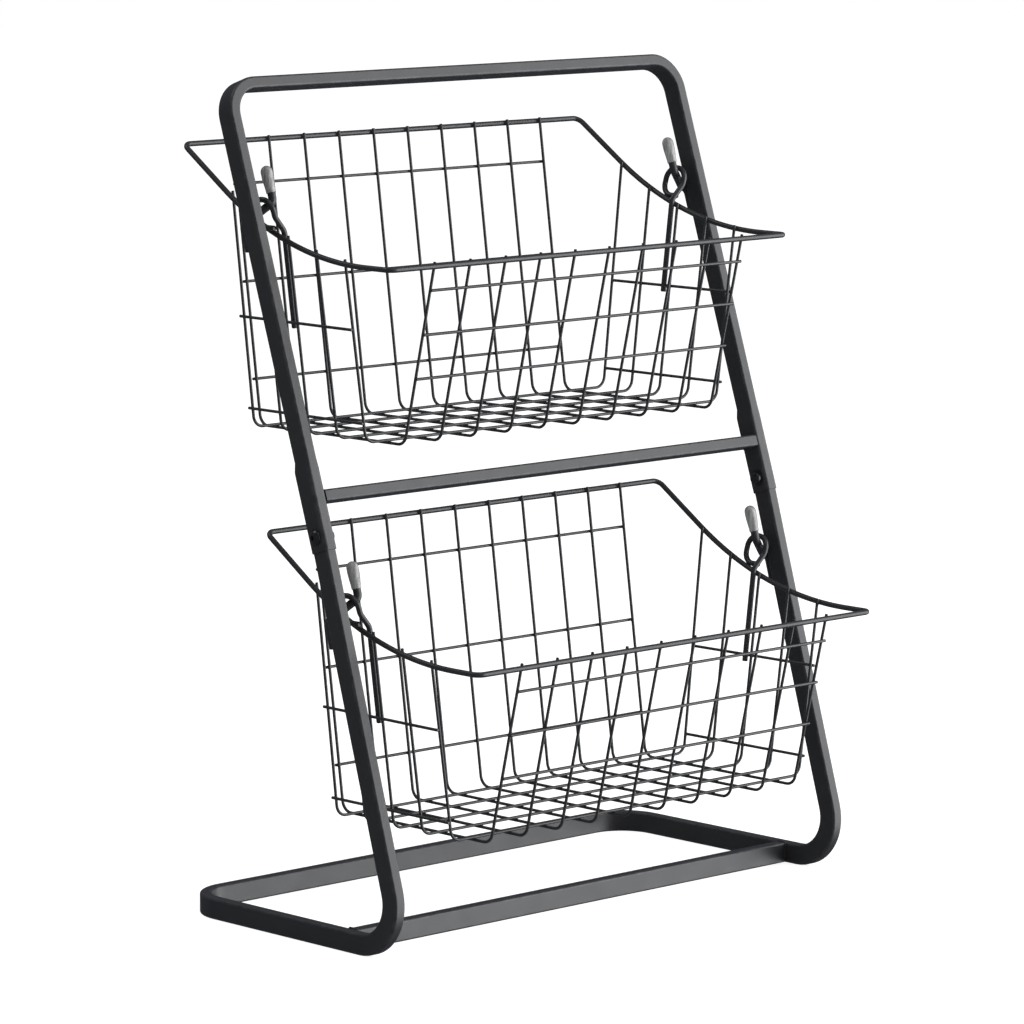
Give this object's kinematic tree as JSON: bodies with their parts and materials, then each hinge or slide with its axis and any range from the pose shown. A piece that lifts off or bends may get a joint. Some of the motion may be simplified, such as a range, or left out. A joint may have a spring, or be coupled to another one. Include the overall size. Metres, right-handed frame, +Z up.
{
  "type": "tiered wire basket",
  "caption": "Free-standing leaning tube frame with a base loop and two open wire baskets hung one above the other on capped pegs.",
  "frame": {"origin": "on the floor, under the middle of the whole stand", "axes": "+X to the right along the baskets, +Y to the back, +Z up"},
  "size_m": [0.4172, 0.2849, 0.5513],
  "materials": {
    "frame_coat": "satin black powder coat",
    "wire_coat": "satin black powder coat",
    "fastener": "black coated steel, slightly glossy",
    "cap_vinyl": "translucent grey soft vinyl"
  },
  "bodies": {
    "frame": {"lower_tube": "frame_coat", "front_bar": "frame_coat", "upper_hoop": "frame_coat", "mid_bar": "frame_coat", "bolts": "fastener", "nuts": "fastener", "upper_left_peg": "frame_coat", "upper_right_peg": "frame_coat", "lower_left_peg": "frame_coat", "lower_right_peg": "frame_coat", "peg_caps": "cap_vinyl"},
    "upper_basket": {"upper_rim": "wire_coat", "upper_long_wire_1": "wire_coat", "upper_long_wire_2": "wire_coat", "upper_long_wire_3": "wire_coat", "upper_long_wire_4": "wire_coat", "upper_long_wire_5": "wire_coat", "upper_long_wire_6": "wire_coat", "upper_long_wire_7": "wire_coat", "upper_long_wire_8": "wire_coat", "upper_long_wire_9": "wire_coat", "upper_long_wire_10": "wire_coat", "upper_cross_wire_1": "wire_coat", "upper_cross_wire_2": "wire_coat", "upper_cross_wire_3": "wire_coat", "upper_cross_wire_4": "wire_coat", "upper_cross_wire_5": "wire_coat", "upper_back_rails": "wire_coat", "upper_front_rails": "wire_coat", "upper_left_side_rails": "wire_coat", "upper_right_side_rails": "wire_coat", "upper_left_hanger": "wire_coat", "upper_right_hanger": "wire_coat"},
    "lower_basket": {"lower_rim": "wire_coat", "lower_long_wire_1": "wire_coat", "lower_long_wire_2": "wire_coat", "lower_long_wire_3": "wire_coat", "lower_long_wire_4": "wire_coat", "lower_long_wire_5": "wire_coat", "lower_long_wire_6": "wire_coat", "lower_long_wire_7": "wire_coat", "lower_long_wire_8": "wire_coat", "lower_long_wire_9": "wire_coat", "lower_long_wire_10": "wire_coat", "lower_cross_wire_1": "wire_coat", "lower_cross_wire_2": "wire_coat", "lower_cross_wire_3": "wire_coat", "lower_cross_wire_4": "wire_coat", "lower_cross_wire_5": "wire_coat", "lower_back_rails": "wire_coat", "lower_front_rails": "wire_coat", "lower_left_side_rails": "wire_coat", "lower_right_side_rails": "wire_coat", "lower_left_hanger": "wire_coat", "lower_right_hanger": "wire_coat"}
  },
  "joints": [
    {"name": "upper_basket_swing", "type": "hinge", "parent": "frame", "child": "upper_basket", "pos_m": [0, 0.05182, 0.46663], "axis": [1, 0, 0], "range_deg": [-30, 30]},
    {"name": "lower_basket_swing", "type": "hinge", "parent": "frame", "child": "lower_basket", "pos_m": [0, -0.02842, 0.21938], "axis": [1, 0, 0], "range_deg": [-30, 30]}
  ]
}
